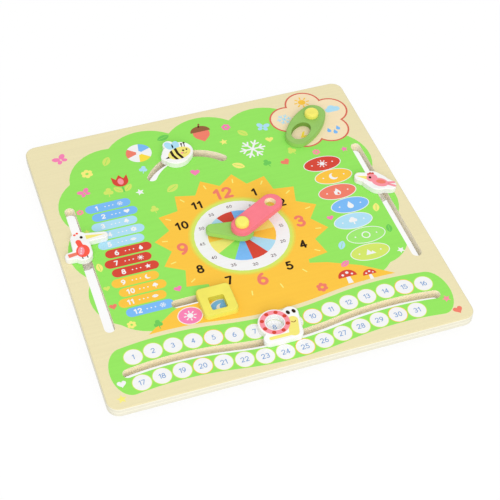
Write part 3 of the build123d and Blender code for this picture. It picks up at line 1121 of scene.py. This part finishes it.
# Scattered motifs: colour, motif, place, radius, turn
SCATTER = [
    ("pink", wings, -112, 80, 6.0, 20),
    ("lime", clover, -92, 74, 5.5, -10),
    ("white", star, -66, 66, 4.0, 10),
    ("lime", leaf, -38, 62, 6.5, 30),
    ("pink", heart, -14, 74, 4.5, -15),
    ("lemon", leaf, 25, 71, 6.0, -35),
    ("sky", wings, 62, 112, 6.5, -20),
    ("lemon", star, 22, 104, 4.0, 0),
    ("coral", heart, 66, 62, 4.5, 20),
    ("lime", clover, 76, 74, 5.0, 15),
    ("pink", star, 121, 62, 3.6, 0),
    ("lemon", leaf, 120, -14, 5.0, 70),
    ("pink", heart, 78.5, -14, 3.2, 0),
    ("white", star, 120.5, -66, 3.6, 20),
    ("sky", leaf, 76, -46, 5.0, 60),
    ("coral", heart, -121, -52, 3.4, 0),
    ("lime", star, -121, 34, 3.2, 0),
    ("lime", clover, -60, 42, 4.6, 0),
    ("pink", heart, -66.5, -50, 3.6, 10),
    ("leaf", clover, -92, -80, 4.6, 0),
    ("pink", wings, -122, 127, 7.0, 25),
    ("lemon", star, -138, -141, 4.0, 0),
    ("coral", heart, 138, -140, 4.2, 10),
    ("lemon", petals, -104, 102, 5.5, 0),
    ("lime", leaf, -84, 112, 6.0, 60),
    ("sky", clover, -56, 92, 4.6, -20),
    ("leaf", leaf, -28, 126, 6.0, 15),
    ("pink", petals, 30, 122, 4.4, 10),
    ("lime", leaf, 42, 110, 5.6, -50),
    ("lemon", heart, 62, 94, 3.8, -10),
    ("leaf", clover, 50, 66, 4.8, 10),
    ("rose", petals, 96, 66, 3.8, 0),
    ("lime", leaf, 121, 26, 5.0, 95),
    ("leaf", leaf, 121, -40, 4.6, 80),
    ("lemon", leaf, -121, -8, 4.8, 95),
    ("rose", petals, -121, 58, 3.4, 0),
    ("lime", heart, -121, -32, 3.0, 0),
    ("coral", petals, 44, -84, 5.0, 0),
    ("lemon", petals, -112, -74, 4.0, 0),
    ("pink", leaf, 71, -66, 4.6, 30),
    ("white", heart, -134.5, -128, 3.8, 0),
    ("rose", star, 134, -126, 3.8, 12),
]

# Toadstools: place and size
TOADSTOOLS = [(68.0, -80.0, 1.0), (86.0, -83.0, 0.72)]


def toadstool(x, y, size):
    stem = [[(-2.2, -7), (2.2, -7), (1.5, 1), (-1.5, 1)]]
    spots = [circle(-3.6, 2.6, 1.1), circle(0.6, 4.4, 1.3), circle(4.2, 2.2, 0.9)]
    draw("scatter", "white", moved(stem, x, y, size), layer=3)
    draw("scatter", "red", moved([arc(0, 0, 8, 0, 180, 7.5)], x, y, size), layer=4)
    draw("scatter", "white", moved(spots, x, y, size), layer=5)


def scattered():
    for colour, motif, x, y, size, turn in SCATTER:
        put("scatter", colour, motif(), x, y, size, turn, layer=3)
    for spot in TOADSTOOLS:
        toadstool(*spot)


# Figures on the sliders, laid out in mm from each slider's dowel
EYE_TALL = 1.15
BEE_TURN = 14.0
SHELL_OUT, SHELL_IN, SHELL_DOTS, SHELL_DOT_R = 12.1, 8.1, 8, 1.7


def sketch(place, colour, add, cut=(), within=(), layer=1, turn=0.0):
    """Prints an area of a figure."""
    x, y, _ = centre(FIGURES[place][1])
    draw(place, colour, *(moved(loops, x, y, 1, turn) for loops in (add, cut, within)), layer)


def dots(place, colour, spots, r, layer=1):
    """Prints a few equal dots on a figure."""
    for x, y in spots:
        sketch(place, colour, [circle(x, y, r)], layer=layer)


def eye(place, x, y, size, layer):
    sketch(place, "black", [circle(x, y, size, EYE_TALL * size)], layer=layer)


def month_bird():
    name = "month_bird"
    sketch(name, "coral", [[(-4.6, -2.6), (-13.8, -3.2), (-13.4, -7.2), (-4.6, -6.0)]])
    for x in (-2.8, 1.4):
        sketch(name, "black", [stroke([(x, -8), (x, -11.2)], 0.8)])
    sketch(name, "butter", [[(5.0, 13.6), (5.0, 9.0), (21.6, 10.4)]])
    neck = stroke([(-1.4, 3), (-2.2, 8)], 4.6)
    sketch(name, "scarlet", [oval(-0.8, -2.8, 5.6, 7.0, -10), neck], layer=2)
    sketch(name, "rose", [oval(-2.2, -2.6, 2.7, 4.8, -14)], layer=3)
    dots(name, "white", [(-3.0, -5.0), (-2.2, -2.6), (-1.4, -0.2)], 0.6, layer=4)
    dots(name, "scarlet", [(-3.4, 16.4), (-1.0, 17.6)], 1.1)
    eye(name, 1.4, 12.4, 1.3, 2)


def weekday_bird():
    name = "weekday_bird"
    for tip in ((10.9, -9.6), (11.7, -5.4)):
        sketch(name, "rose", [stroke([(2.7, -3), tip], 2.4)])
    sketch(name, "butter", [[(-7.3, 8.8), (-8.7, 4.4), (-16.5, 12.2)]])
    dots(name, "red", [(-5.4, 10.6), (-3.4, 11.2), (-1.4, 10.4)], 1.2)
    sketch(name, "rose", [circle(-4.1, 5.4, 4.8), oval(0.5, -1.6, 7.2, 5.0, -38)], layer=2)
    sketch(name, "coral", [oval(1.5, -1.2, 4.2, 2.4, -30)], layer=3)
    eye(name, -5.6, 6.4, 1.2, 3)


def season_bee():
    name = "season_bee"
    body = oval(0.4, -2.2, 10.6, 7.2)
    for x, y, turn in ((-5.6, 9.6, 20), (0.2, 8.6, -12)):
        sketch(name, "sky", [oval(x, y, 3.4, 5.4, turn)])
    sketch(name, "black", [[(-9, -0.6), (-13.8, -2.4), (-9, -4.2)]], turn=BEE_TURN)
    for x in (6.6, 9.2):
        feeler = [stroke([(x - 0.6, 3), (x + 1, 7.2)], 0.8), circle(x + 1, 7.2, 1.0)]
        sketch(name, "black", feeler, turn=BEE_TURN)
    sketch(name, "butter", [body], layer=2, turn=BEE_TURN)
    stripes = [stroke([(x + 1.2, 6), (x, -2.2), (x + 1.2, -10.4)], 2.4) for x in (-6.0, -1.2)]
    sketch(name, "black", stripes, within=[body], layer=3, turn=BEE_TURN)
    eye(name, 5.0, 0.2, 1.0, 3)
    eye(name, 8.2, 0.8, 0.9, 3)
    sketch(name, "brown", [stroke(arc(5.9, -2.0, 1.7, 200, 340), 0.5)], layer=3)
    dots(name, "rose", [(3.2, -2.6)], 1.1, layer=3)


def day_snail():
    name = "day_snail"
    pin, window = centre("day_pin"), opening_place("day_window")
    shell = window[0] - pin.x, window[1] - pin.y
    sketch(name, "lemon", [stroke([(-10.2, -3.6), (9.0, -3.6)], 3.2)])
    sketch(name, "butter", [stroke([(9.2, -2.4), (12.0, 8.6)], 8.2)], layer=2)
    sketch(name, "rose", [circle(*shell, SHELL_OUT)], [circle(*shell, SHELL_IN)], layer=3)
    ring, step = (SHELL_OUT + SHELL_IN) / 2, 360 / SHELL_DOTS
    spots = [polar(*shell, ring, (i + 0.5) * step) for i in range(SHELL_DOTS)]
    dots(name, "red", spots, SHELL_DOT_R, layer=4)
    for x in (10.9, 15.7):
        sketch(name, "black", [oval(x, 17.2, 1.5, 2.1, 12)], layer=3)
    sketch(name, "brown", [stroke(arc(12.2, 8.4, 1.8, 205, 335), 0.7)], layer=3)


meadow()
sunshine()
clock_face()
months()
weekdays()
halves()
seasons()
weather_dial()
day_band()
scattered()
month_bird()
weekday_bird()
season_bee()
day_snail()

for (place, colour), mesh in prints.items():
    if place in FIGURES:
        body, slot = FIGURES[place][0] + "_slider", "figure_white"
    else:
        body, slot = "panel", "panel_ply"
    build(f"print_{place}_{colour}", mesh, body, ink(colour))

# Floor, light and camera. The floor and the lamp are in metres.
FLOOR_SIDE = 6.0
FLOOR_TONE = 0.88
FLOOR_SHARE, FLOOR_GLOW = 0.9, 1.02
FILL_LIGHT, SEEN_LIGHT = 0.73, 1.0
KEY_POWER, KEY_SIDE = 76.0, 2.8
KEY_PLACE = (-0.45, -3.12, 2.32)

# The camera, solved from the panel's corners: target and distance in mm
CAMERA_TARGET = (-18.10, -20.89, BOARD_TOP)
CAMERA_AZIMUTH = -18.125
CAMERA_ELEVATION = 47.389
CAMERA_DISTANCE = 1075.1
CAMERA_LENS, CAMERA_SENSOR = 93.77, 36.0
CAMERA_SHIFT_X = 0.0512


def direct_view(shader):
    """1 for rays of the camera, of reflections and of clear materials, 0 for diffuse light."""
    rays = [shader.add("LightPath", out=f"Is {kind} Ray") for kind in ("Camera", "Glossy", "Transmission")]
    return shader.math("MAXIMUM", shader.math("MAXIMUM", *rays[:2]), rays[2])


def floor():
    """Wide pale floor. The camera sees it near white, with the object's shadow on it."""
    half = FLOOR_SIDE / 2
    data = bpy.data.meshes.new("floor")
    corners = [(-half, -half, 0), (half, -half, 0), (half, half, 0), (-half, half, 0)]
    data.from_pydata(corners, [], [(0, 1, 2, 3)])
    shader = Shader("floor")
    shader.set(Base_Color=(FLOOR_TONE, FLOOR_TONE, FLOOR_TONE, 1), Roughness=1.0, Specular_IOR_Level=0.0)
    glow = shader.add("Emission", Color=(1, 1, 1, 1), Strength=FLOOR_GLOW)
    both = shader.add("MixShader", Fac=shader.math("MULTIPLY", direct_view(shader), FLOOR_SHARE))
    shader.tree.links.new(shader.surface.outputs[0], both.node.inputs[1])
    shader.tree.links.new(glow, both.node.inputs[2])
    shader.tree.links.new(both, shader.tree.nodes["Material Output"].inputs[0])
    data.materials.append(shader.material)
    add_object("floor", data)


def light():
    """Even white surroundings and one large soft lamp."""
    studio = Shader("studio", bpy.data.worlds, "Background")
    strength = {"Value": direct_view(studio), "To_Min": FILL_LIGHT, "To_Max": SEEN_LIGHT}
    studio.set(Color=(1, 1, 1, 1), Strength=studio.add("MapRange", **strength))
    bpy.context.scene.world = studio.material
    lamp = bpy.data.lights.new("key", "AREA")
    lamp.energy = KEY_POWER
    lamp.size = KEY_SIDE
    key = add_object("key", lamp)
    key.location = KEY_PLACE
    key.rotation_euler = (-Vector(KEY_PLACE)).to_track_quat("-Z", "Y").to_euler()


def camera():
    data = bpy.data.cameras.new("camera")
    data.lens = CAMERA_LENS
    data.sensor_width = CAMERA_SENSOR
    data.shift_x = CAMERA_SHIFT_X
    turn, lift = radians(CAMERA_AZIMUTH), radians(CAMERA_ELEVATION)
    back = Vector((sin(turn) * cos(lift), -cos(turn) * cos(lift), sin(lift)))
    stand = add_object("camera", data)
    stand.location = (Vector(CAMERA_TARGET) + back * CAMERA_DISTANCE) * MM
    stand.rotation_euler = back.to_track_quat("Z", "Y").to_euler()
    bpy.context.scene.camera = stand


floor()
light()
camera()
bpy.context.scene.view_settings.view_transform = "Standard"

bpy.context.view_layer.update()
